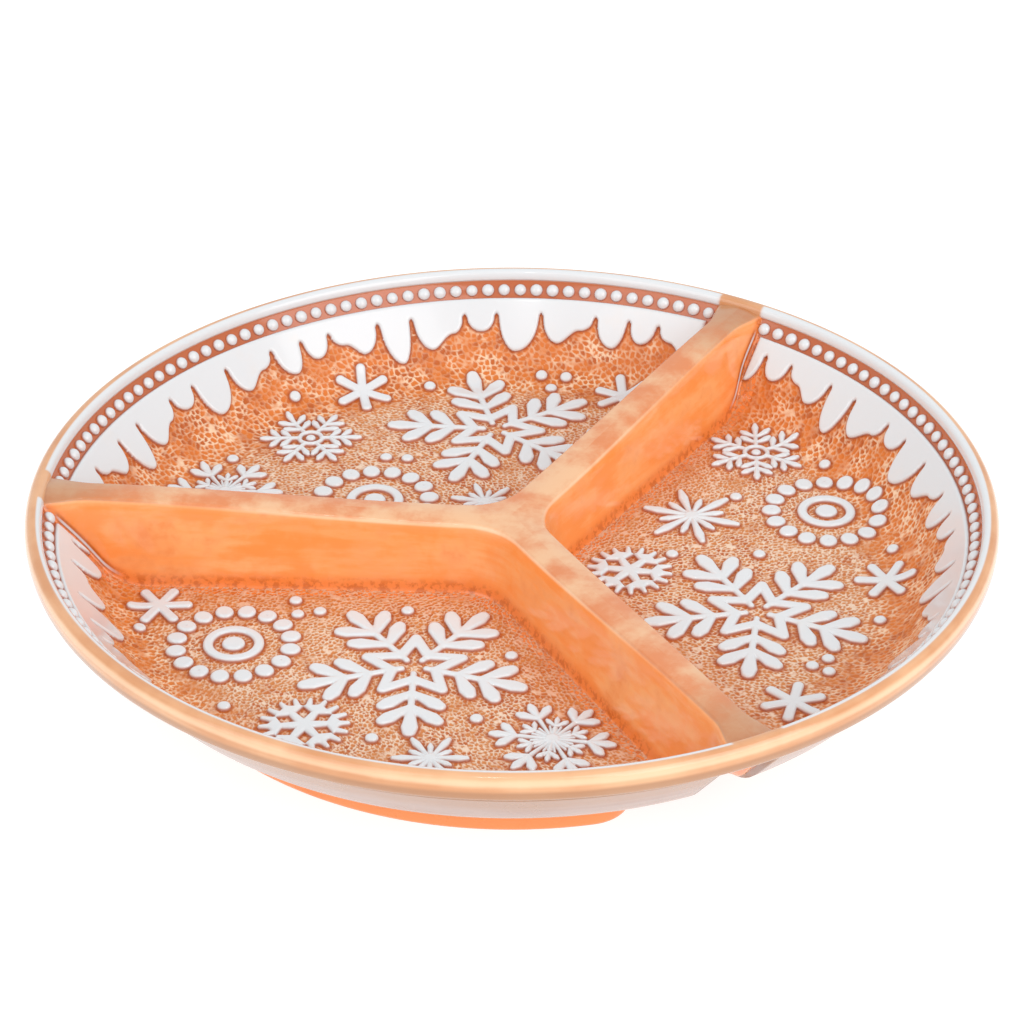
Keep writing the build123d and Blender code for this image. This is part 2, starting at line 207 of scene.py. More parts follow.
class BowlStage(bpy.types.PropertyGroup):
    """Camera and light."""

    lens: length("Lens", "Focal length of the camera", 126.4)
    distance: length("Distance", "Distance of the camera in plan", 963.7)
    height: length("Height", "Height of the camera above the table", 637.8)
    heading: amount("Heading", "Turn of the camera", radians(2.2), subtype="ANGLE")
    tilt: amount("Tilt", "Camera's tilt", radians(31.848), subtype="ANGLE")
    floor_color: tint("Floor", "Floor of the stage", 150, 150, 150)
    sky: amount("Sky", "Strength of the light from all round", 0.8)
    glow: amount("Glow", "Light that the lit table gives off", 0.85)
    left_box: amount("Left box", "Power of the left soft box", 7.5, unit="POWER")
    right_box: amount("Right box", "Power of the right soft box", 13.0, unit="POWER")
    spark: amount("Spark", "Power of the small lamp", 0.5, unit="POWER")


def sizes(context):
    """The bowl's sizes in millimetres, with what follows from them."""
    form = context.scene.bowl_form
    s = SimpleNamespace(**{key: getattr(form, key) / MM for key in BowlForm.__annotations__})
    rise = s.seat_level - s.floor_level
    # The wall leans so that its curve and straight run reach the rim's seat
    s.slope = wall_slope(rise, s.wall_run, s.bowl_curve)
    s.curve_end = s.seat_radius - s.wall_run
    s.curve_start = s.curve_end - s.bowl_curve * sin(s.slope)
    s.curve_rise = s.bowl_curve * (1 - cos(s.slope))
    s.face_lean = (s.divider_base - s.divider_top) / (s.crest_level - s.floor_level)
    # The dividers end inside the rim
    s.divider_end = s.seat_radius + 6
    s.groove_rise = s.groove_width * sin(s.slope)
    s.groove_run = s.groove_width * cos(s.slope)
    return s


def wall_slope(rise, run, radius, halvings=60):
    """Angle of a wall that rises over a straight run after a curve of that radius from the level floor."""
    low, high = 0.0, pi / 2
    for _ in range(halvings):
        middle = (low + high) / 2
        if radius * (1 - cos(middle)) + run * tan(middle) < rise:
            low = middle
        else:
            high = middle
    return low


# The basins' inner surface


def wall_height(s, radius):
    """Height of the inner surface at a distance from the axis."""
    across = np.clip(radius - s.curve_start, 0, s.curve_end - s.curve_start)
    curve = s.bowl_curve - np.sqrt(s.bowl_curve**2 - across**2)
    return s.floor_level + curve + np.maximum(radius - s.curve_end, 0) * tan(s.slope)


def wall_lean(s, radius):
    """Angle of the inner surface to the level at a distance from the axis."""
    across = np.clip(radius - s.curve_start, 0, s.curve_end - s.curve_start)
    return np.arcsin(across / s.bowl_curve)


def wall_run(s, radius):
    """Distance from the axis along the inner surface."""
    flat = np.minimum(radius, s.curve_start)
    return flat + s.bowl_curve * wall_lean(s, radius) + np.maximum(radius - s.curve_end, 0) / cos(s.slope)


def run_radius(s, run):
    """Distance from the axis of a point at a distance along the inner surface."""
    past = np.clip((run - s.curve_start) / s.bowl_curve, 0, s.slope)
    straight = np.maximum(run - s.curve_start - s.bowl_curve * s.slope, 0)
    return np.minimum(run, s.curve_start) + s.bowl_curve * np.sin(past) + straight * cos(s.slope)


def on_wall(s, x, y, lift):
    """Points above a place in plan, raised from the inner surface along its normal."""
    radius = np.maximum(np.hypot(x, y), 1e-6)
    lean = wall_lean(s, radius)
    inward = 1 - lift * np.sin(lean) / radius
    return np.stack([x * inward, y * inward, wall_height(s, radius) + lift * np.cos(lean)], axis=-1)


def unrolled(s, x, y):
    """Places in plan moved out, so that their distance from the axis is that along the inner surface."""
    radius = np.hypot(x, y)
    return x / radius * wall_run(s, radius), y / radius * wall_run(s, radius)


def rolled(s, u, v):
    """Places in plan of unrolled ones."""
    run = np.hypot(u, v)
    return u / run * run_radius(s, run), v / run * run_radius(s, run)


def turned(points, angle):
    """Points turned about the axis by an angle in degrees."""
    c, s = cos(radians(angle)), sin(radians(angle))
    x, y = points[..., 0], points[..., 1]
    return np.stack([c * x - s * y, s * x + c * y, points[..., 2]], axis=-1)


def smooth(low, high, value):
    """0 up to low, 1 from high on and an even change between. Low may be the larger of the two."""
    share = np.clip((value - low) / (high - low), 0, 1)
    return share * share * (3 - 2 * share)


def blended_low(a, b, soft):
    """The lower of two values, with a rounded change from one to the other."""
    near = np.maximum(soft - np.abs(a - b), 0) / soft
    return np.minimum(a, b) - near * near * soft / 4


def blended_high(a, b, soft):
    """The higher of two values, with a rounded change from one to the other."""
    return -blended_low(-a, -b, soft)


# Outlines of the ornament, as distances to the outline that are negative inside


def fold(x, y, count, start=0.0):
    """Folds the plane into half of one of count equal sectors, which faces +X."""
    step = 2 * pi / count
    angle = np.arctan2(y, x) - radians(start)
    angle = np.abs((angle + step / 2) % step - step / 2)
    radius = np.hypot(x, y)
    return radius * np.cos(angle), radius * np.sin(angle)


def branch(x, y, place, angle):
    """Coordinates along and across a branch that leaves +X at a place."""
    c, s = cos(radians(angle)), sin(radians(angle))
    return (x - place) * c + y * s, y * c - (x - place) * s


def drop(x, y, base, tip, base_radius, tip_radius):
    """Drop along +X, from a round end about base to a round end that stops at tip."""
    span = tip - tip_radius - base
    lean = (base_radius - tip_radius) / span
    rise = (1 - lean * lean) ** 0.5
    along, across = x - base, np.abs(y)
    place = rise * along - lean * across
    side = rise * across + lean * along - base_radius
    low = np.hypot(along, across) - base_radius
    high = np.hypot(along - span, across) - tip_radius
    return np.where(place < 0, low, np.where(place > rise * span, high, side))


def leaf(x, y, base, tip, half_width, point=0.62, bulge=0.66, stalk=0.45):
    """Leaf along +X that is widest at bulge.

    Point and stalk give the roundness of its ends as shares of the half width.
    """
    widest = base + bulge * (tip - base)
    inner = drop(x, y, base, widest + half_width, stalk * half_width, half_width)
    return np.minimum(inner, drop(x, y, widest, tip, half_width, point * half_width))


def oval(x, y, half_length, half_width):
    """Oval about the origin."""
    near = np.hypot(x / half_length, y / half_width)
    steep = np.hypot(x / half_length**2, y / half_width**2) + 1e-9
    return near * (near - 1) / steep


def ring(x, y, radius, half_line):
    """Ring about the origin."""
    return np.abs(np.hypot(x, y) - radius) - half_line


def together(*shapes, soft=0.7):
    """Shapes joined with a soft corner where they meet."""
    return reduce(lambda a, b: blended_low(a, b, soft), shapes)


def large_snowflake(
    x, y, reach=37.0, stem=1.35, leaf_length=13.2, blunt=2.75, star=15.4, line=1.9, hollow=4.0
):
    """Five arms with two pairs of leaves, and an open star in the middle."""
    x, y = fold(x, y, 5)
    shapes = [drop(x, y, hollow, reach * 0.8, 0.85 * stem, stem), leaf(x, y, reach * 0.62, reach, blunt, 0.8)]
    for share, angle in ((0.385, 51), (0.585, 48)):
        shapes.append(leaf(*branch(x, y, reach * share, angle), 0, leaf_length, blunt, 0.78))
    valley = star * 0.46
    out, left = star * cos(radians(36)) - valley, star * sin(radians(36))
    angle, side = degrees(atan2(left, out)), hypot(out, left)
    shapes.append(drop(*branch(x, y, valley, angle), 0, side + line, line, line))
    return together(*shapes)


def rosette(x, y, reach=18.0, bead=(3.3, 3.0), ring_radius=7.9, line=1.7, middle=3.7):
    """Ring of oval beads round a ring and a dot."""
    u, v = fold(x, y, 16)
    beads = oval(u - reach, v, *bead)
    return np.minimum(np.minimum(beads, ring(x, y, ring_radius, line)), np.hypot(x, y) - middle)


def ring_flake(x, y, reach=17.5, stem=0.9, ring_radius=3.8, line=0.9, middle=1.75):
    """Six arms with two pairs of leaves, round a ring and a dot."""
    u, v = fold(x, y, 6)
    shapes = [drop(u, v, ring_radius, reach * 0.8, stem, stem), ring(x, y, ring_radius, line)]
    shapes.append(leaf(u, v, reach * 0.6, reach, 1.55 * stem))
    for share in (0.36, 0.57):
        shapes.append(leaf(*branch(u, v, reach * share, 54), 0, 6.6, 1.5 * stem))
    return np.minimum(together(*shapes, soft=0.35), np.hypot(x, y) - middle)


def lattice_flake(x, y, reach=14.0, plate=11.6, opening=(3.1, 2.15)):
    """Six-sided plate with diamond openings and points round its edge."""
    u, v = fold(x, y, 6, start=30)
    side = plate * cos(radians(30))
    points = drop(*fold(x, y, 18), side * 0.8, reach, 1.5, 0.85)
    away = np.abs(u - plate * 0.56) / opening[0] + v / opening[1] - 1
    hole = away * opening[0] * opening[1] / hypot(*opening)
    return np.maximum(together(u - side, points, soft=0.6), -hole)


def fern_flake(x, y, reach=19.5, stem=0.95, short=11.6, middle=2.5):
    """Six long arms with forked ends, six short ones between them and a sunburst where they meet."""
    rays = drop(*fold(x, y, 12, start=15), 0, reach * 0.36, 0.3 * stem, 0.55 * stem)
    shapes = [np.hypot(x, y) - middle, rays]
    for start, tip, length_share, half_width in ((0, reach, 0.4, 1.75), (30, short, 0.42, 1.05)):
        u, v = fold(x, y, 6, start=start)
        fork = tip * 0.56
        shapes += [drop(u, v, 0, fork, 0.5 * stem, 0.95 * stem), leaf(u, v, fork, tip, half_width)]
        shapes.append(leaf(*branch(u, v, fork, 47), 0, tip * length_share, half_width))
    return together(*shapes, soft=0.3)


def burst(x, y, reach=16.6, short=11.0, half_width=1.75):
    """Long petals with short ones between them."""
    long_petal = leaf(*fold(x, y, 6), 1.5, reach, half_width)
    short_petal = leaf(*fold(x, y, 6, start=30), 1.5, short, 0.8 * half_width)
    return together(np.hypot(x, y) - 1.5 * half_width, long_petal, short_petal, soft=0.4)


def small_burst(x, y):
    """Smaller burst."""
    return burst(x, y, reach=11.8, short=7.6, half_width=1.45)


def asterisk(x, y, reach=10.6, stroke=1.85):
    """Three crossed strokes with round ends."""
    return drop(*fold(x, y, 6), 0, reach, stroke * 0.9, stroke)


def dot(x, y, radius=2.15):
    """Round spot."""
    return np.hypot(x, y) - radius


# Each outline with how far it reaches from its middle
OUTLINES = {
    "large_snowflake": (large_snowflake, 40.0),
    "rosette": (rosette, 23.0),
    "ring_flake": (ring_flake, 19.0),
    "lattice_flake": (lattice_flake, 15.0),
    "fern_flake": (fern_flake, 21.0),
    "burst": (burst, 18.0),
    "small_burst": (small_burst, 13.0),
    "asterisks": (asterisk, 12.0),
    "dots": (dot, 3.0),
}


def local_place(s, u, v, place):
    """Coordinates of an ornament's own outline for unrolled places in its compartment."""
    out, left = unrolled(s, *place[:2])
    c, k = cos(radians(place[2])), sin(radians(place[2]))
    return (u - out) * c + (v - left) * k, (v - left) * c - (u - out) * k


def icing_edge(s, name, angle):
    """Depth of the icing's lower edge below the rim's seat, for degrees from the compartment's middle."""
    first, scale = ICING[name]
    along = (first - angle) % sum(width for width, _ in DRIPS)
    depth = np.empty_like(along)
    start = 0.0
    for width, lobes in DRIPS:
        knots = [(0.0, s.notch_depth), *lobes, (width, s.notch_depth)]
        for (near, high), (far, low) in zip(knots, knots[1:]):
            here = (along >= start + near) & (along <= start + far)
            past = along[here] - start - near
            if near == 0:
                depth[here] = notch_side(s, past, far, low)
            elif far == width:
                depth[here] = notch_side(s, far - near - past, far - near, high)
            else:
                depth[here] = high + (low - high) * smooth(0, far - near, past)
        start += width
    return depth * scale


def notch_side(s, away, span, lobe):
    """Depth of the icing's edge between a notch and the bottom of a lobe, for degrees from the notch."""
    past = np.clip((away - NOTCH_GAP) / (span - NOTCH_GAP), 0, 1)
    point = np.clip(1 - away / NOTCH_GAP, 0, 1)
    return s.notch_depth + (lobe - s.notch_depth) * np.sqrt(1 - (1 - past) ** 2) - point


def icing_distance(s, name, angle, below):
    """Distance to the icing's lower edge, negative above it, for angles in radians and depths below the seat.

    It is followed only as far as the stain below the icing needs.
    """
    step, limit, most = radians(0.08), 1.3, 3.5
    edge_angle = np.arange(-limit, limit, step)
    edge = icing_edge(s, name, np.degrees(edge_angle))
    edge_along = edge_angle * s.curve_end
    along = angle * s.curve_end
    reach = int(most / (step * s.curve_end))
    place = np.clip(((angle - edge_angle[0]) / step).astype(int), reach, len(edge) - reach - 2)
    distance = np.full(angle.shape, most)
    for offset in range(-reach, reach + 1):
        k = place + offset
        run, fall = edge_along[k + 1] - edge_along[k], edge[k + 1] - edge[k]
        x, y = along - edge_along[k], below - edge[k]
        share = np.clip((x * run + y * fall) / (run * run + fall * fall), 0, 1)
        distance = np.minimum(distance, np.hypot(x - share * run, y - share * fall))
    return np.where(below < edge[place], -distance, distance)


# Meshes


def new_piece(name, points, polygons, glaze, values, nodes):
    """Object from points in millimetres and lists of polygons, each list with one number of corners."""
    mesh = bpy.data.meshes.new(name)
    corners = np.concatenate([faces.ravel() for faces in polygons])
    counts = np.concatenate([np.full(len(faces), faces.shape[1]) for faces in polygons])
    mesh.vertices.add(len(points))
    mesh.vertices.foreach_set("co", (points * MM).astype(np.float32).ravel())
    mesh.loops.add(len(corners))
    mesh.loops.foreach_set("vertex_index", corners.astype(np.int32))
    mesh.polygons.add(len(counts))
    mesh.polygons.foreach_set("loop_start", (np.cumsum(counts) - counts).astype(np.int32))
    mesh.polygons.foreach_set("loop_total", counts.astype(np.int32))
    mesh.update(calc_edges=True)
    mesh.validate()
    mesh.shade_smooth()
    for key, value in values.items():
        layer = mesh.attributes.new(key, "FLOAT", "POINT")
        layer.data.foreach_set("value", value.astype(np.float32).ravel())
    mesh.materials.append(glaze)
    piece = bpy.data.objects.new(name, mesh)
    bpy.context.collection.objects.link(piece)
    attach(piece, BODY)
    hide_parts(*nodes)
    return piece


def grid_faces(rows, columns, start=0, flip=False):
    """Four-cornered faces of a grid of points that are numbered row by row."""
    number = start + np.arange(rows * columns).reshape(rows, columns)
    corners = [number[:-1, :-1], number[1:, :-1], number[1:, 1:], number[:-1, 1:]]
    if flip:
        corners.reverse()
    return np.stack(corners, axis=-1).reshape(-1, 4)


def wrapped_faces(rows, columns):
    """Faces of a grid of points that closes on itself both ways."""
    number = np.arange(rows * columns).reshape(rows, columns)
    following, ahead = np.roll(number, -1, axis=1), np.roll(number, -1, axis=0)
    return np.stack([number, following, np.roll(ahead, -1, axis=1), ahead], axis=-1).reshape(-1, 4)


def edge_loop(rows, columns, start=0):
    """Numbers of the points round the edge of a grid."""
    number = start + np.arange(rows * columns).reshape(rows, columns)
    return np.concatenate([number[0, :-1], number[:-1, -1], number[-1, :0:-1], number[:0:-1, 0]])


def closed_sheet(top, bottom, ratio):
    """Points, polygons and upper edge of a closed sheet.

    It lies between a fine grid and one that has every ratio-th of its points.
    """
    rows, columns = top.shape[:2]
    low_rows, low_columns = bottom.shape[:2]
    points = np.concatenate([top.reshape(-1, 3), bottom.reshape(-1, 3)])
    upper = edge_loop(rows, columns)
    lower = edge_loop(low_rows, low_columns, rows * columns)
    steps = np.arange(0, len(upper), ratio)[:, None] + np.arange(ratio + 1)
    side = np.concatenate([upper[steps % len(upper)], np.roll(lower, -1)[:, None], lower[:, None]], axis=1)
    faces = [grid_faces(rows, columns), grid_faces(low_rows, low_columns, rows * columns, flip=True), side]
    return points, faces, upper


def sharpen(piece, loops):
    """Marks the edges along loops of points as sharp, so that the shading breaks there."""
    mesh = piece.data
    ends = np.empty(len(mesh.edges) * 2, dtype=np.int32)
    mesh.edges.foreach_get("vertices", ends)
    sharp = np.zeros(len(mesh.edges), dtype=bool)
    for loop in loops:
        # Points off the loop get a place that is below 0
        place = np.full(len(mesh.vertices), -9)
        place[loop] = np.arange(len(loop))
        first, second = place[ends.reshape(-1, 2)].T
        step = np.abs(first - second)
        sharp |= (first >= 0) & (second >= 0) & ((step == 1) | (step == len(loop) - 1))
    mesh.attributes.new("sharp_edge", "BOOLEAN", "EDGE").data.foreach_set("value", sharp)


def filled(distance, u, v):
    """Points, polygons and outline edges that fill the part of a grid where distance is negative."""
    inside = distance < 0
    cross_u = inside[:-1] != inside[1:]
    cross_v = inside[:, :-1] != inside[:, 1:]
    number = np.cumsum(inside).reshape(inside.shape) - 1
    number_u = inside.sum() + np.cumsum(cross_u).reshape(cross_u.shape) - 1
    number_v = inside.sum() + cross_u.sum() + np.cumsum(cross_v).reshape(cross_v.shape) - 1
    grid = np.stack(np.meshgrid(u, v, indexing="ij"), axis=-1)

    def crossing(a, b, first, second, cut):
        share = (first[cut] / (first[cut] - second[cut]))[:, None]
        return a[cut] + (b[cut] - a[cut]) * share

    points = [
        grid[inside],
        crossing(grid[:-1], grid[1:], distance[:-1], distance[1:], cross_u),
        crossing(grid[:, :-1], grid[:, 1:], distance[:, :-1], distance[:, 1:], cross_v),
    ]
    # Corners and edges of each cell, in turn round it
    names = [number[:-1, :-1], number_u[:, :-1], number[1:, :-1], number_v[1:]]
    names += [number[1:, 1:], number_u[:, 1:], number[:-1, 1:], number_v[:-1]]
    flags = [inside[:-1, :-1], cross_u[:, :-1], inside[1:, :-1], cross_v[1:]]
    flags += [inside[1:, 1:], cross_u[:, 1:], inside[:-1, 1:], cross_v[:-1]]
    names = np.stack(names, axis=-1)
    kinds = np.stack(flags, axis=-1) @ (1 << np.arange(8))
    polygons, edges = [], []
    for kind in np.unique(kinds[kinds > 0]):
        used = [k for k in range(8) if kind >> k & 1]
        cells = names[kinds == kind]
        polygons.append(cells[:, used])
        for a, b in zip(used, used[1:] + used[:1]):
            if a % 2 and b % 2:
                edges.append(cells[:, [a, b]])
    return np.concatenate(points), polygons, np.concatenate(edges)


def raised_shape(s, distance, u, v, place, outline):
    """Closed form with rounded shoulders over a filled outline. Place gives points for u, v and a lift."""
    flat, polygons, edges = filled(distance, u, v)
    depth = np.clip(-outline(flat[:, 0], flat[:, 1]) / s.shoulder, 0, 1)
    rise = np.sqrt(1 - (1 - depth) ** 2)
    top = place(flat[:, 0], flat[:, 1], rise * s.relief)
    low = place(flat[:, 0], flat[:, 1], np.full(len(flat), -SINK))
    count = len(flat)
    sides = np.stack([edges[:, 1], edges[:, 0], edges[:, 0] + count, edges[:, 1] + count], axis=-1)
    faces = polygons + [cells[:, ::-1] + count for cells in polygons] + [sides]
    return np.concatenate([top, low]), faces, np.concatenate([rise, np.zeros(count)])


def gathered(parts):
    """Points, polygons and values of several forms as one."""
    start, points, faces, values = 0, [], [], []
    for part_points, part_faces, part_values in parts:
        points.append(part_points)
        faces.extend(cells + start for cells in part_faces)
        values.append(part_values)
        start += len(part_points)
    return np.concatenate(points), faces, np.concatenate(values)


# Pebbled ground. Lengths are in millimetres

# The floor's ground changes to the wall's between these distances past the start of the curve
GROUND_CHANGE = (-10, 8)
# Added to a compartment's number for the random places of the wall's pits
WALL_SEED = 10
# Share of a cell over which a pit deepens
PIT_SLOPE = 0.55
# How far past an ornament's reach its stain is looked for
STAIN_MARGIN = 5
# Share of the pits that the stain fills, and how far it lowers the ground
STAIN_FILL, STAIN_DEPTH = 0.8, 0.12
# Width of the painted shade that darkens the ground beside the dividers
DIVIDER_SHADE = 26


def pits(u, v, cell, seed):
    """How far points lie inside their pits, from 0 on the ridges to 1, and each pit's own shade."""
    # The pits repeat after this many cells
    count = 256
    chance = np.random.default_rng(seed).random((3, count, count))
    u, v = u / cell, v / cell
    column, row = np.floor(u).astype(int), np.floor(v).astype(int)
    first = np.full(u.shape, np.inf)
    second = first.copy()
    shade = np.zeros(u.shape)
    for across in (-1, 0, 1):
        for along in (-1, 0, 1):
            i, j = column + across, row + along
            jump_u, jump_v, own_shade = chance[:, i % count, j % count]
            away = np.hypot(i + jump_u - u, j + jump_v - v)
            second = np.minimum(second, np.maximum(first, away))
            shade = np.where(away < first, own_shade, shade)
            first = np.minimum(first, away)
    return np.clip((second - first) / PIT_SLOPE, 0, 1), shade


def ground(s, name, x, y):
    """Points and values of the pebbled ground above places in plan."""
    radius = np.hypot(x, y)
    u, v = unrolled(s, x, y)
    on_slope = smooth(*(s.curve_start + past for past in GROUND_CHANGE), radius)
    seed = list(COMPARTMENTS).index(name)
    floor_pits = np.stack(pits(u, v, s.pebble, seed))
    wall_pits = np.stack(pits(u, v, s.wall_pebble, seed + WALL_SEED))
    depth, shade = floor_pits + (wall_pits - floor_pits) * on_slope
    near_icing = icing_distance(s, name, np.arctan2(y, x), wall_run(s, s.seat_radius) - wall_run(s, radius))
    near = np.full(radius.shape, s.rim_radius)
    for kind, (outline, reach) in OUTLINES.items():
        for place in PLACES[kind].get(name, ()):
            close = np.hypot(x - place[0], y - place[1]) < reach + STAIN_MARGIN
            near[close] = np.minimum(near[close], outline(*local_place(s, u[close], v[close], place)))
    stains = (near, s.halo), (near_icing, s.icing_halo)
    pool = np.maximum(*(np.exp(-np.maximum(away, 0) / width) for away, width in stains))
    gap = radius * np.sin(HALF_ANGLE - np.abs(np.arctan2(y, x))) - s.divider_base
    pit = smooth(0.0, 0.8, depth)
    lift = -s.pebble_depth * pit * (1 - STAIN_FILL * pool) - STAIN_DEPTH * pool
    # The last value is painted shade on the ground, darkest beside the dividers
    values = {"pit": pit, "shade": shade, "pool": pool, "slope": on_slope, "shelter": smooth(DIVIDER_SHADE, 0, gap)}
    return on_wall(s, x, y, lift), values


def sector_grid(radii, columns, side):
    """Places in plan between two dividers, on arcs of the given radii."""
    limit = HALF_ANGLE - np.arcsin(side / radii)
    angle = limit[:, None] * np.linspace(-1, 1, columns)
    return radii[:, None] * np.cos(angle), radii[:, None] * np.sin(angle)


# Shader nodes


def operation(name, reflected=False):
    """Operator of a wire that adds a Math node."""

    def method(self, other):
        first, second = (other, self) if reflected else (self, other)
        return self.glaze.node("ShaderNodeMath", {0: first, 1: second}, operation=name)

    return method


class Wire:
    """Value in a glaze's node tree, for use in expressions."""

    def __init__(self, glaze, socket):
        self.glaze = glaze
        self.socket = socket

    __add__ = operation("ADD")
    __radd__ = operation("ADD", reflected=True)
    __sub__ = operation("SUBTRACT")
    __rsub__ = operation("SUBTRACT", reflected=True)
    __mul__ = operation("MULTIPLY")
    __rmul__ = operation("MULTIPLY", reflected=True)

    def sway(self, width):
        """A value from 0 to 1, moved to lie about 0 and scaled to a width."""
        return (self - 0.5) * width


class Glaze:
    """Material made of nodes, with one glossy surface."""

    def __init__(self, name):
        self.material = bpy.data.materials.new(name)
        self.material.use_nodes = True
        self.tree = self.material.node_tree
        self.tree.nodes.clear()
        self.place = self.node("ShaderNodeTexCoord", output="Object")

    def node(self, kind, inputs=None, output=0, **settings):
        """New node with its settings and the values or links of its sockets."""
        new = self.tree.nodes.new(kind)
        for key, value in settings.items():
            setattr(new, key, value)
        for key, value in (inputs or {}).items():
            if isinstance(value, Wire):
                self.tree.links.new(value.socket, new.inputs[key])
            else:
                new.inputs[key].default_value = value
        return Wire(self, new.outputs[output]) if new.outputs else None

    def values(self, *names):
        """Values stored on the mesh."""
        return [self.node("ShaderNodeAttribute", output="Fac", attribute_name=name) for name in names]

    def noise(self, size, detail=3.0, stretch=(1, 1, 1), rough=0.55, place=None):
        """Cloudy value with spots of about a size in millimetres."""
        place = self.node("ShaderNodeMapping", {"Vector": place or self.place, "Scale": stretch})
        inputs = {"Vector": place, "Scale": 1 / (size * MM), "Detail": detail, "Roughness": rough}
        return self.node("ShaderNodeTexNoise", inputs)

    def step(self, value, low, high):
        """0 below low, 1 above high and an even change between."""
        inputs = {"Value": value, "From Min": low, "From Max": high}
        return self.node("ShaderNodeMapRange", inputs, interpolation_type="SMOOTHSTEP")

    def band(self, value, start, full, fade, end):
        """1 between full and fade, and 0 before start and after end."""
        return self.step(value, start, full) * (1 - self.step(value, fade, end))

    def mix(self, first, second, share):
        """Colour between two colours."""
        inputs = {0: share, 6: opaque(first), 7: opaque(second)}
        return self.node("ShaderNodeMix", inputs, output=2, data_type="RGBA")

    def blend(self, first, second, value, low, high, share=1.0):
        """Colour that changes from first to second as a value goes from low to high, up to a share."""
        return self.mix(first, second, self.step(value, low, high) * share)

    def finish(self, color, roughness, coat, bump, specular=0.5):
        """Glossy surface of a colour, with fine unevenness as (height, strength, depth in millimetres)."""
        height, strength, depth = bump
        inputs = {"Base Color": color, "Roughness": roughness, "Coat Weight": coat, "Coat Roughness": 0.06}
        inputs["Specular IOR Level"] = specular
        settings = {"Height": height, "Strength": strength, "Distance": depth * MM}
        inputs["Normal"] = self.node("ShaderNodeBump", settings)
        return self.surface(inputs)

    def surface(self, inputs):
        """Material with a surface of these inputs."""
        surface = self.node("ShaderNodeBsdfPrincipled", inputs)
        self.node("ShaderNodeOutputMaterial", {"Surface": surface})
        return self.material


def opaque(color):
    """Colour with full cover, or the wire as it is."""
    return color if isinstance(color, Wire) else (*color, 1.0)


def ornament_glaze(colors):
    """White ornament, with the brown stain that runs down its edges."""
    glaze = Glaze("ornament_glaze")
    (rise,) = glaze.values("rise")
    cloud = glaze.noise(6)
    color = glaze.blend(colors.white, colors.wall_ridge, glaze.noise(14), 0.55, 0.9, 0.18)
    stain = 1 - glaze.step(rise + cloud.sway(0.3), 0.1, 0.75)
    color = glaze.mix(color, colors.stain, stain * 0.8)
    return glaze.finish(color, 0.16 + 0.1 * cloud, 0.5, (glaze.noise(1.6), 0.12, 0.12))


def ground_glaze(colors):
    """Brown wash in the pits of the ground, with pale ridges and painted shade beside the dividers."""
    glaze = Glaze("ground_glaze")
    slope, pit, shade, pool, shelter = glaze.values("slope", "pit", "shade", "pool", "shelter")
    cloud = glaze.noise(22, 4)
    wash = glaze.noise(9, 3)
    fine = glaze.noise(1.1, 2)
    ridge = glaze.mix(colors.ridge, colors.wall_ridge, slope)
    hollow = glaze.mix(colors.pit, colors.wall_pit, slope)
    hollow = glaze.blend(hollow, colors.stain, cloud + shade.sway(0.5), 0.42, 0.8, 0.85)
    color = glaze.blend(ridge, hollow, pit + fine.sway(0.9), 0.05, 0.9)
    color = glaze.blend(color, hollow, wash + slope * 0.12, 0.46, 0.74, 0.55 + 0.25 * slope)
    # Painted shade darkens the ground beside the dividers
    color = glaze.mix(color, colors.wall_pit, shelter * (0.2 + 0.6 * cloud))
    color = glaze.blend(color, colors.stain, pool + fine.sway(0.3), 0.15, 0.7, 0.8)
    return glaze.finish(color, 0.3 + 0.2 * fine, 0.1, (fine, 0.15, 0.15), specular=0.3)


def outside_glaze(colors):
    """Pale outside with faint turning rings, painted shade in deep tan just below the rim, and tan near the
    feet.
    """
    glaze = Glaze("outside_glaze")
    cloud = glaze.noise(30, 4)
    rings = glaze.noise(5, 2, stretch=(0.04, 0.04, 1))
    color = glaze.blend(colors.outside, colors.outside_ring, rings + cloud.sway(0.5), 0.42, 0.72, 0.8)
    color = glaze.blend(color, colors.tan, cloud, 0.52, 0.8, 0.25)
    level = glaze.node("ShaderNodeSeparateXYZ", {"Vector": glaze.place}, output="Z")
    edge = level + cloud.sway(4 * MM)
    # Painted shade under the rim's overhang, carrying on that at the rim's lower edge
    color = glaze.blend(color, colors.deep_tan, edge, 22 * MM, 30 * MM, 0.9)
    color = glaze.mix(color, colors.tan, (1 - glaze.step(edge, 13 * MM, 20 * MM)) * 0.5)
    return glaze.finish(color, 0.2 + 0.12 * cloud, 0.4, (rings, 0.12, 0.4))


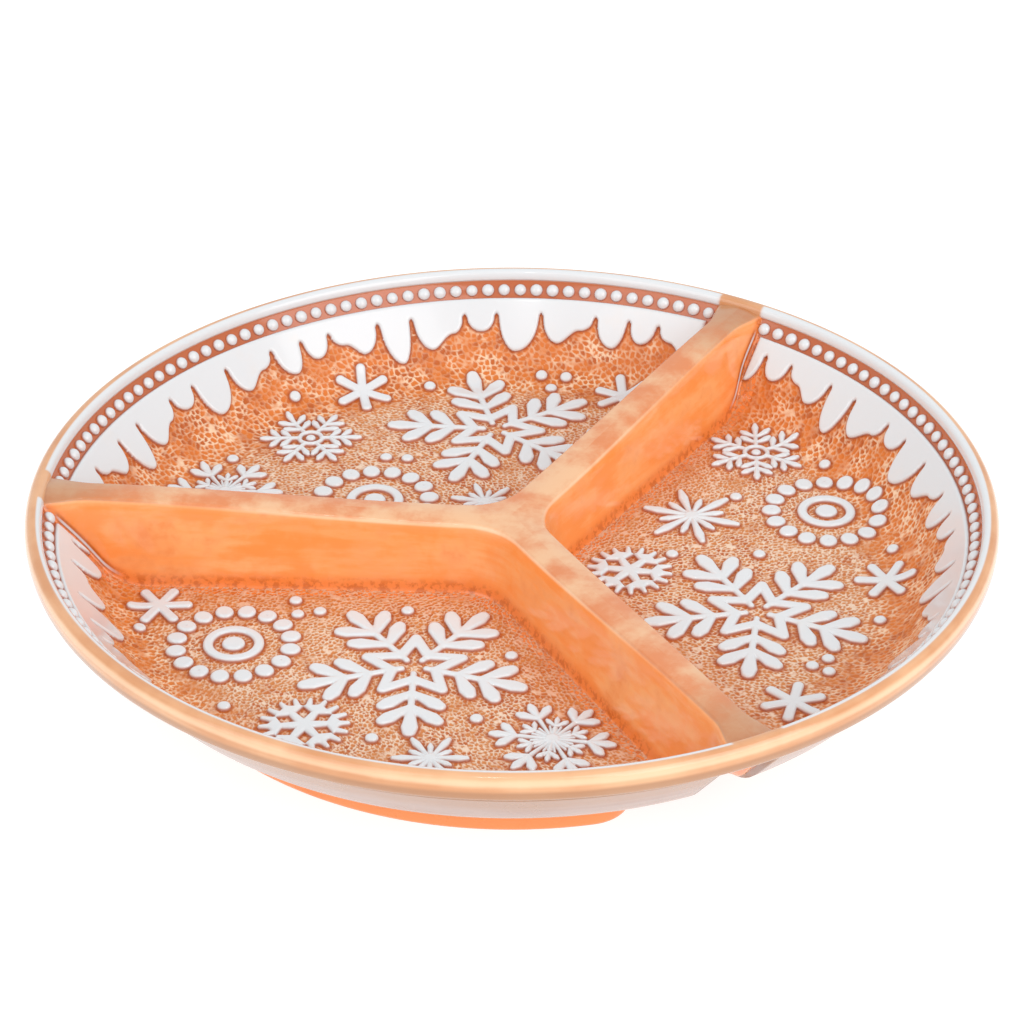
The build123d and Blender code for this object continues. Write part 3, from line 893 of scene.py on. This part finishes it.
def divider_glaze(colors):
    """Orange brushed along the dividers, tan on their crests, a painted highlight along the crests' edges,
    painted shade where the faces meet the floor, and speckled at the floor.
    """
    glaze = Glaze("divider_glaze")
    crest, base, rise, climb = glaze.values("crest", "base", "rise", "climb")
    along, level, patch = glaze.values("along", "level", "patch")
    brush = glaze.node("ShaderNodeCombineXYZ", {"X": along * MM, "Y": level * MM, "Z": patch})
    streak = glaze.noise(7, 5, stretch=(0.2, 1, 1), rough=0.6, place=brush)
    cloud = glaze.noise(20, 5, rough=0.62)
    speck = glaze.noise(2.2, 3)
    color = glaze.blend(colors.orange, colors.pale_orange, streak + cloud.sway(0.8), 0.36, 0.72)
    color = glaze.blend(color, colors.deep_orange, cloud + streak.sway(0.4), 0.5, 0.76, 0.7)
    # Painted shade: deeper orange towards the floor, where the face meets it
    color = glaze.blend(color, colors.deep_orange, base + streak.sway(0.7), 0.3, 1.0, 0.7)
    color = glaze.blend(color, colors.stain, speck, 0.46, 0.6, glaze.step(base, 0.5, 1.0) * 0.6)
    # The crest is paler in the middle and darker near the rim
    middle = 1 - glaze.step(along, 15, 70)
    top = glaze.blend(colors.crest, colors.pale_tan, cloud + streak.sway(0.4) + middle * 0.12, 0.4, 0.7)
    top = glaze.blend(top, colors.deep_tan, along + cloud * 40, 125, 165, 0.6)
    color = glaze.blend(color, top, crest + streak.sway(0.3), 0.4, 0.85)
    # Painted highlight: a cream line along the crest's edges, strongest near the hub
    fade = 1.1 - 0.8 * glaze.step(along, 40, 110)
    line = glaze.band(crest, 0.02, 0.4, 0.6, 1.0)
    color = glaze.mix(color, colors.pale_edge, line * (0.2 + 0.6 * cloud) * fade)
    # A pale line between two brown lines is painted up the wall where a divider joins it
    color = glaze.mix(color, colors.stain, glaze.band(rise, 0.2, 0.9, 2.6, 4.0) * climb * 0.75)
    color = glaze.mix(color, colors.white, glaze.band(rise, 0.9, 1.4, 1.9, 2.4) * climb * 0.85)
    return glaze.finish(color, 0.14 + 0.12 * cloud, 0.5, (streak, 0.12, 0.4))


def rim_glaze(colors):
    """Tan rim with a painted highlight on its roll and painted shade at its lower edge, with a white lip and
    a brown groove.
    """
    glaze = Glaze("rim_glaze")
    lip, groove, roll, band = glaze.values("lip", "groove", "roll", "band")
    cloud = glaze.noise(26, 4)
    rings = glaze.noise(3, 3, stretch=(0.05, 0.05, 1))
    color = glaze.blend(colors.tan, colors.pale_tan, cloud + rings.sway(0.7), 0.3, 0.75, 0.7)
    # Painted highlight along the roll
    color = glaze.blend(color, colors.pale_edge, roll + cloud.sway(0.5), 0.3, 1.0, 0.5)
    # Painted shade at the rim's lower edge
    color = glaze.blend(color, colors.deep_tan, band + cloud.sway(0.4), 0.2, 0.9, 0.75)
    color = glaze.mix(color, colors.white, lip)
    color = glaze.mix(color, colors.groove, groove * (0.8 + 0.2 * cloud))
    return glaze.finish(color, 0.15 + 0.1 * cloud, 0.6, (rings, 0.08, 0.4))


def foot_glaze(colors):
    """Orange feet with darker patches."""
    glaze = Glaze("foot_glaze")
    cloud = glaze.noise(18, 4)
    color = glaze.blend(colors.foot, colors.deep_orange, cloud, 0.45, 0.8, 0.5)
    return glaze.finish(color, 0.2 + 0.15 * cloud, 0.3, (cloud, 0.1, 0.5), specular=0.35)


def material(context, maker):
    """Material of a glaze, made when it is first asked for."""
    found = bpy.data.materials.get(maker.__name__)
    return found or maker(context.scene.bowl_glaze)


# Pieces


class BOWL_OT_basins(bpy.types.Operator):
    """Make the floors and walls of the basins"""

    bl_idname = "bowl.basins"
    bl_label = "Basins"

    def execute(self, context):
        s = sizes(context)
        # Cells of the undersides, outward and across. The tops have ratio times as many each way
        ratio, floor_cells, wall_cells = 4, (50, 105), (18, 135)
        # The basins reach in below the dividers and the hub, and up behind the rim
        side, start, end = s.divider_base - 1.5, 14, s.seat_radius + 0.3
        # The wall starts a little inside the floor's edge, and below it
        split, lap, lap_depth = s.curve_start + 1, 0.6, 0.4
        runs = np.linspace(wall_run(s, split - lap), wall_run(s, end), wall_cells[0] * ratio + 1)
        zones = {
            "floor": (np.linspace(start, split, floor_cells[0] * ratio + 1), floor_cells[1] * ratio + 1),
            "wall": (run_radius(s, runs), wall_cells[1] * ratio + 1),
        }
        inner = material(context, ground_glaze)
        outer = material(context, outside_glaze)
        for name, angle in COMPARTMENTS.items():
            for zone, (radii, columns) in zones.items():
                x, y = sector_grid(radii, columns, side)
                top, values = ground(s, name, x, y)
                if zone == "wall":
                    top[0, :, 2] -= lap_depth
                bottom = on_wall(s, x[::ratio, ::ratio], y[::ratio, ::ratio], -s.wall_thickness)
                points, faces, loop = closed_sheet(turned(top, angle), turned(bottom, angle), ratio)
                spare = np.zeros(bottom[..., 0].size)
                values = {key: np.concatenate([value.ravel(), spare]) for key, value in values.items()}
                label, nodes = f"basin_{zone}_{name}", [f"basin_{name}"]
                piece = new_piece(label, points, faces, inner, values, nodes)
                piece.data.materials.append(outer)
                # The first list of faces is the top
                slots = np.concatenate([np.full(len(cells), index > 0) for index, cells in enumerate(faces)])
                piece.data.polygons.foreach_set("material_index", slots.astype(np.int32))
                sharpen(piece, [loop])
        return {"FINISHED"}


class BOWL_OT_dividers(bpy.types.Operator):
    """Make the dividers and the hub where they meet"""

    bl_idname = "bowl.dividers"
    bl_label = "Dividers"

    def execute(self, context):
        s = sizes(context)
        # Steps across are shorter on the face than on the crest
        edge, foot, end = s.divider_top - 1.2, s.divider_base + 0.5, s.divider_base + 4
        spans = (0, edge, 6), (edge, foot, 43), (foot, end, 13)
        across = np.concatenate([*(np.linspace(*span, endpoint=False) for span in spans), [end]])
        x, y = self.paths(s, across)
        top, values = self.section(s, x, y, across)
        ratio = 2
        coarse = (slice(None, None, ratio), slice(None, None, ratio))
        bottom = self.underside(s, x, y, across)[coarse]
        parts, loops = [], []
        for number, angle in enumerate(COMPARTMENTS.values()):
            points, faces, loop = closed_sheet(turned(top, angle), turned(bottom, angle), ratio)
            parts.append((points, faces, np.full(len(points), number)))
            loops.append(loop + number * len(points))
        points, faces, patch = gathered(parts)
        values = {key: [*value.ravel(), *value[coarse].ravel()] for key, value in values.items()}
        values = {key: np.tile(value, len(parts)) for key, value in values.items()}
        values["patch"] = patch
        nodes = ["divider_left", "divider_rear", "divider_front", "divider_hub"]
        glaze = material(context, divider_glaze)
        piece = new_piece("dividers", points, faces, glaze, values, nodes)
        sharpen(piece, loops)
        return {"FINISHED"}

    def crest_line(self, s, radius):
        """Height of the crest's middle, which dips to the hub."""
        return s.crest_level - s.crest_dip * (1 - smooth(0, s.seat_radius + 4, radius))

    def sides(self, s, radius, across):
        """Heights of the crest and of the sloping face, as if each ran on."""
        # The crest is a little rounded, and the face widens where it runs into the rim
        crown, flare, flare_length = 0.5, 3.5, 10
        widened = flare * smooth(s.seat_radius - flare_length, s.divider_end, radius)
        face = s.floor_level + (s.divider_base + widened - across) / s.face_lean
        return self.crest_line(s, radius) - crown * (across / s.divider_top) ** 2, face

    def underside(self, s, x, y, across, soft=3.0, cover=0.3):
        """Points of the dividers' hollow underside, which ends inside the basins."""
        radius = np.hypot(x, y)
        crown, face = self.sides(s, radius, across)
        inner = blended_low(crown - s.divider_wall, face - s.divider_wall / s.face_lean, soft)
        level = np.maximum(inner, wall_height(s, radius) - s.wall_thickness + cover)
        return np.stack([x, y, level], axis=-1)

    def paths(self, s, across, straight_rows=191, bend_rows=12):
        """Places in plan on lines that run along one divider, round the hub and along the next."""
        corner = s.hub_corner * np.minimum(across / s.divider_top, 1)
        meet = (across + corner) / tan(HALF_ANGLE)
        along = meet + (s.divider_end - meet) * np.linspace(1, 0, straight_rows)[:, None]
        ray, normal = (cos(HALF_ANGLE), sin(HALF_ANGLE)), (sin(HALF_ANGLE), -cos(HALF_ANGLE))
        arm = [along * ray[0] + across * normal[0], along * ray[1] + across * normal[1]]
        turn = np.linspace(pi - (pi / 2 - HALF_ANGLE), pi, bend_rows)[1:, None]
        centre = (across + corner) / sin(HALF_ANGLE)
        bend = [centre + corner * np.cos(turn), corner * np.sin(turn)]
        x, y = (np.concatenate([straight, curve]) for straight, curve in zip(arm, bend))
        return np.concatenate([x, x[-2::-1]]), np.concatenate([y, -y[-2::-1]])

    def section(self, s, x, y, across, crest_soft=5.0, base_soft=2.6, sink=0.25):
        """Points of the dividers' surface, and the values that its glaze needs."""
        radius = np.hypot(x, y)
        floor = wall_height(s, radius)
        body = blended_low(*self.sides(s, radius, across), crest_soft)
        level = blended_high(body, floor - sink, base_soft)
        # The pale line up the wall fades out at the foot of the wall and at the rim
        beside_wall = smooth(s.curve_start + 6, s.curve_end, radius)
        values = {
            "crest": smooth(2.4, 0.4, self.crest_line(s, radius) - level),
            "base": smooth(9, 0, level - floor),
            "rise": level - floor,
            "climb": beside_wall * smooth(s.seat_radius + 1, s.seat_radius - 2, radius),
            "along": radius,
            "level": level,
        }
        return np.stack([x, y, level], axis=-1), values


class BOWL_OT_rim(bpy.types.Operator):
    """Make the rolled rim with its lip and groove"""

    bl_idname = "bowl.rim"
    bl_label = "Rim"

    def execute(self, context):
        s = sizes(context)
        groove_edge = (s.seat_radius + s.groove_run, s.seat_level + s.groove_rise)
        lip = (groove_edge[0] - s.lip_height * sin(s.slope), groove_edge[1] + s.lip_height * cos(s.slope))
        lip_top = lip[0] + (s.overall_height - lip[1]) / tan(s.slope)
        roll = s.rim_radius - lip_top
        # Corners of the profile, from its lower inner edge over the lip to the lower outer edge
        corners = np.array(
            [
                (s.seat_radius - 1.2, s.seat_level - 3.2),
                (s.seat_radius - 0.4, s.seat_level - 0.6),
                groove_edge,
                lip,
                (lip_top - 0.5 * roll, s.overall_height - 0.15),
                (lip_top + 0.45 * roll, s.overall_height + 0.1),
                (s.rim_radius + 0.05, s.overall_height - 0.6 * roll),
                (s.rim_radius, s.seat_level + 3.6),
                (s.rim_radius - 0.5 * s.rim_tuck, s.seat_level + 0.6),
                (s.rim_radius - s.rim_tuck - 0.6, s.seat_level),
            ]
        )
        radius, level = self.rounded(corners).T[..., None]
        sides = 1200
        angle = np.linspace(0, 2 * pi, sides, endpoint=False)
        points = np.stack([radius * np.cos(angle), radius * np.sin(angle), level + 0 * angle], axis=-1)
        # The white lip and the brown groove stop short of the dividers
        sector = (angle + HALF_ANGLE) % (2 * HALF_ANGLE) - HALF_ANGLE
        gap = radius * np.sin(HALF_ANGLE - np.abs(sector))
        clear = smooth(s.divider_top + 2.6, s.divider_top + 3.8, gap)
        # The white is narrower on the left
        edge = s.lip_edge - s.lip_drift * np.sin(angle / 2) ** 8
        inner = smooth(edge + 0.3, edge - 0.3, radius)
        above = smooth(groove_edge[1] - 0.1, groove_edge[1] + 0.5, level)
        # Painted highlight along the roll, and painted shade where the roll turns under at its lower edge
        roll_level, roll_width = s.seat_level + 6.8, 1.4
        roll_highlight = np.exp(-(((level - roll_level) / roll_width) ** 2))
        underside_shade = smooth(s.seat_level + 5.6, s.seat_level + 2.2, level)
        values = {
            "lip": inner * above * clear,
            "groove": inner * (1 - above) * clear,
            # The roll value is a painted highlight and the band value painted shade
            "roll": roll_highlight * (1 - inner),
            "band": underside_shade * (1 - inner),
        }
        faces = wrapped_faces(*points.shape[:2])
        glaze = material(context, rim_glaze)
        new_piece("rolled_rim", points.reshape(-1, 3), [faces], glaze, values, ["rim"])
        return {"FINISHED"}

    def rounded(self, corners, rounds=3, near=0.75):
        """Closed profile with its corners cut round."""
        for _ in range(rounds):
            after = np.roll(corners, -1, axis=0)
            pairs = [near * corners + (1 - near) * after, (1 - near) * corners + near * after]
            corners = np.stack(pairs, axis=1).reshape(-1, 2)
        return corners


class BOWL_OT_beads(bpy.types.Operator):
    """Make the rows of beads in the rim's groove"""

    bl_idname = "bowl.beads"
    bl_label = "Beads"

    def execute(self, context):
        s = sizes(context)
        middle = s.seat_radius + s.groove_run / 2
        # A row ends at a gap from the dividers. A bead is a flat dome whose size varies a little
        end_gap, base_tilt, flatness, smallest, largest = 6, -0.25, 0.85, 0.93, 1.03
        reach = HALF_ANGLE - asin((s.divider_top + end_gap) / middle)
        count = 1 + int(2 * reach * middle / s.bead_pitch)
        rings, sides = 7, 20
        tilt = np.linspace(pi / 2, base_tilt, rings)[1:, None]
        around = np.linspace(0, 2 * pi, sides, endpoint=False)
        u = np.concatenate([[0], (np.cos(tilt) * np.cos(around)).ravel()])
        v = np.concatenate([[0], (np.cos(tilt) * np.sin(around)).ravel()])
        lift = np.concatenate([[1], (np.sin(tilt) + 0 * around).ravel()])
        ring_number = 1 + np.arange((rings - 1) * sides).reshape(rings - 1, sides)
        following = np.roll(ring_number, -1, axis=1)
        cap = np.stack([np.zeros(sides, dtype=int), ring_number[0], following[0]], axis=-1)
        body = np.stack([ring_number[:-1], ring_number[1:], following[1:], following[:-1]], axis=-1)
        faces = [cap, body.reshape(-1, 4), ring_number[-1][None, ::-1]]
        # The stain stays low on a bead
        rise = np.clip(lift * 1.4, 0, 1)
        glaze = material(context, ornament_glaze)
        random = np.random.default_rng(4)
        for name, angle in COMPARTMENTS.items():
            parts = []
            for place in np.linspace(-reach, reach, count):
                size = s.bead_radius * random.uniform(smallest, largest)
                radius = run_radius(s, wall_run(s, middle) + v * size)
                direction = place + u * size / middle
                x, y = radius * np.cos(direction), radius * np.sin(direction)
                parts.append((turned(on_wall(s, x, y, lift * size * flatness), angle), faces, rise))
            points, polygons, values = gathered(parts)
            nodes = [f"beads_{name}"]
            new_piece(f"bead_row_{name}", points, polygons, glaze, {"rise": values}, nodes)
        return {"FINISHED"}


class BOWL_OT_icing(bpy.types.Operator):
    """Make the icing that drips from the rim"""

    bl_idname = "bowl.icing"
    bl_label = "Icing"

    def execute(self, context):
        s = sizes(context)
        seat_run = wall_run(s, s.seat_radius)
        # The grid's step, its reach along the rim, and its top and bottom below the seat
        step, reach, top, bottom = 0.32, radians(57), -1.5, 28.0
        angles = np.arange(-reach, reach, step / s.curve_end)
        depths = np.arange(top, bottom, step)

        def place(angle, below, lift):
            radius = run_radius(s, seat_run - below)
            return on_wall(s, radius * np.cos(angle), radius * np.sin(angle), lift)

        glaze = material(context, ornament_glaze)
        for name, turn in COMPARTMENTS.items():

            def outline(angle, below):
                side = np.abs(angle) * s.curve_end - HALF_ANGLE * s.curve_end + s.divider_top + s.icing_gap
                edge = np.maximum(icing_distance(s, name, angle, below), -s.icing_lap - below)
                return np.maximum(edge, side)

            distance = outline(*np.meshgrid(angles, depths, indexing="ij"))
            points, faces, rise = raised_shape(s, distance, angles, depths, place, outline)
            points, faces = turned(points, turn), [cells[:, ::-1] for cells in faces]
            nodes = [f"icing_{name}"]
            new_piece(f"icing_edge_{name}", points, faces, glaze, {"rise": rise}, nodes)
        return {"FINISHED"}


class BOWL_OT_ornament(bpy.types.Operator):
    """Make the snowflakes, rosettes, stars and dots"""

    bl_idname = "bowl.ornament"
    bl_label = "Ornament"

    def execute(self, context):
        s = sizes(context)
        glaze = material(context, ornament_glaze)
        # Steps of the grids, of which the coarse one is for ornament with a large reach
        coarse, fine, large = 0.3, 0.25, 30
        for kind, (outline, reach) in OUTLINES.items():
            grid = np.arange(-reach, reach, coarse if reach > large else fine)
            distance = outline(*np.meshgrid(grid, grid, indexing="ij"))
            for name, places in PLACES[kind].items():
                parts = []
                for out, left, turn in places:
                    out, left = unrolled(s, out, left)
                    c, k = cos(radians(turn)), sin(radians(turn))

                    def place(u, v, lift):
                        return on_wall(s, *rolled(s, out + u * c - v * k, left + u * k + v * c), lift)

                    parts.append(raised_shape(s, distance, grid, grid, place, outline))
                points, faces, rise = gathered(parts)
                points, nodes = turned(points, COMPARTMENTS[name]), [f"{kind}_{name}"]
                new_piece(f"raised_{kind}_{name}", points, faces, glaze, {"rise": rise}, nodes)
        return {"FINISHED"}


class BOWL_OT_feet(bpy.types.Operator):
    """Make the foot under each basin"""

    bl_idname = "bowl.feet"
    bl_label = "Feet"

    def execute(self, context):
        s = sizes(context)
        # Profile across the ring, as (distance in from the outer face, height). Its top is inside the basin
        top = s.floor_level - s.wall_thickness + 0.6
        profile = [(0.35, top), (0.0, 6.0), (0.0, 1.2), (0.35, 0.35), (1.2, 0.0)]
        profile += [(s.foot_width - inward, level) for inward, level in reversed(profile)]
        rings = [self.outline(s, inward) for inward, _ in profile]
        points = np.stack([np.insert(ring, 2, level, axis=1) for ring, (_, level) in zip(rings, profile)])
        faces = wrapped_faces(*points.shape[:2])[:, [0, 3, 2, 1]]
        glaze = material(context, foot_glaze)
        for name, angle in COMPARTMENTS.items():
            placed = turned(points, angle).reshape(-1, 3)
            new_piece(f"foot_ring_{name}", placed, [faces], glaze, {}, [f"foot_{name}"])
        return {"FINISHED"}

    def outline(self, s, inward):
        """Rounded sector, drawn in by a distance."""
        radius, side, corner = s.foot_radius - inward, s.foot_side + inward, s.foot_corner - inward
        apex = (side + corner) / sin(HALF_ANGLE)
        far = HALF_ANGLE - asin((side + corner) / (radius - corner))
        far_corner = ((radius - corner) * cos(far), (radius - corner) * sin(far))
        # Arcs as (centre, radius, first and last direction, number of points)
        arcs = [
            ((0, 0), radius, -far, far, 90),
            (far_corner, corner, far, HALF_ANGLE + pi / 2, 24),
            ((apex, 0), corner, pi - (pi / 2 - HALF_ANGLE), pi + (pi / 2 - HALF_ANGLE), 12),
            ((far_corner[0], -far_corner[1]), corner, -HALF_ANGLE - pi / 2, -far, 24),
        ]
        points = []
        for centre, size, start, end, count in arcs:
            turn = np.linspace(start, end, count, endpoint=False)
            points.append(centre + size * np.stack([np.cos(turn), np.sin(turn)], axis=-1))
        return np.concatenate(points)


class BOWL_OT_stage(bpy.types.Operator):
    """Make the floor, the light and the camera"""

    bl_idname = "bowl.stage"
    bl_label = "Stage"

    def execute(self, context):
        stage = context.scene.bowl_stage
        bpy.ops.mesh.primitive_plane_add(size=STAGE_WIDTH)
        floor = context.object
        floor.name = "stage_floor"
        inputs = {"Base Color": opaque(stage.floor_color), "Roughness": 0.9}
        inputs |= {"Emission Color": (1, 1, 1, 1), "Emission Strength": stage.glow}
        floor.data.materials.append(Glaze("stage_floor").surface(inputs))

        world = bpy.data.worlds.new("stage_sky")
        world.use_nodes = True
        inputs = world.node_tree.nodes["Background"].inputs
        inputs["Color"].default_value = (1, 1, 1, 1)
        inputs["Strength"].default_value = stage.sky
        context.scene.world = world

        for name, (place, power, width) in LAMPS.items():
            turn = Vector(place).to_track_quat("Z", "Y").to_euler()
            bpy.ops.object.light_add(type="AREA", location=place, rotation=turn)
            context.object.name = name
            context.object.data.energy = getattr(stage, power)
            context.object.data.size = width

        turn = stage.heading
        location = (stage.distance * sin(turn), -stage.distance * cos(turn), stage.height)
        bpy.ops.object.camera_add(location=location, rotation=(pi / 2 - stage.tilt, 0, turn))
        camera = context.object
        camera.name = "stage_camera"
        camera.data.lens = stage.lens / MM
        camera.data.sensor_width = SENSOR_WIDTH
        context.scene.camera = camera
        context.scene.view_settings.view_transform = "Standard"
        return {"FINISHED"}


class BOWL_PT_panel(bpy.types.Panel):
    """Lists the bowl's pieces in the sidebar"""

    bl_idname = "BOWL_PT_panel"
    bl_label = "Serving Bowl"
    bl_space_type = "VIEW_3D"
    bl_region_type = "UI"
    bl_category = "Serving Bowl"

    def draw(self, context):
        for operator in PIECES:
            self.layout.operator(operator.bl_idname)
        for group in (context.scene.bowl_form, context.scene.bowl_glaze, context.scene.bowl_stage):
            for key in type(group).__annotations__:
                self.layout.prop(group, key)


PIECES = (
    BOWL_OT_basins,
    BOWL_OT_dividers,
    BOWL_OT_rim,
    BOWL_OT_beads,
    BOWL_OT_icing,
    BOWL_OT_ornament,
    BOWL_OT_feet,
    BOWL_OT_stage,
)
GROUPS = {"bowl_form": BowlForm, "bowl_glaze": BowlGlaze, "bowl_stage": BowlStage}


def register():
    for group in GROUPS.values():
        bpy.utils.register_class(group)
    for key, group in GROUPS.items():
        setattr(bpy.types.Scene, key, PointerProperty(type=group))
    for operator in (*PIECES, BOWL_PT_panel):
        bpy.utils.register_class(operator)


def unregister():
    for operator in (BOWL_PT_panel, *reversed(PIECES)):
        bpy.utils.unregister_class(operator)
    for key, group in GROUPS.items():
        delattr(bpy.types.Scene, key)
        bpy.utils.unregister_class(group)


def main():
    register()
    bpy.ops.bowl.basins()
    bpy.ops.bowl.dividers()
    bpy.ops.bowl.rim()
    bpy.ops.bowl.beads()
    bpy.ops.bowl.icing()
    bpy.ops.bowl.ornament()
    bpy.ops.bowl.feet()
    bpy.ops.bowl.stage()


if __name__ == "__main__":
    main()
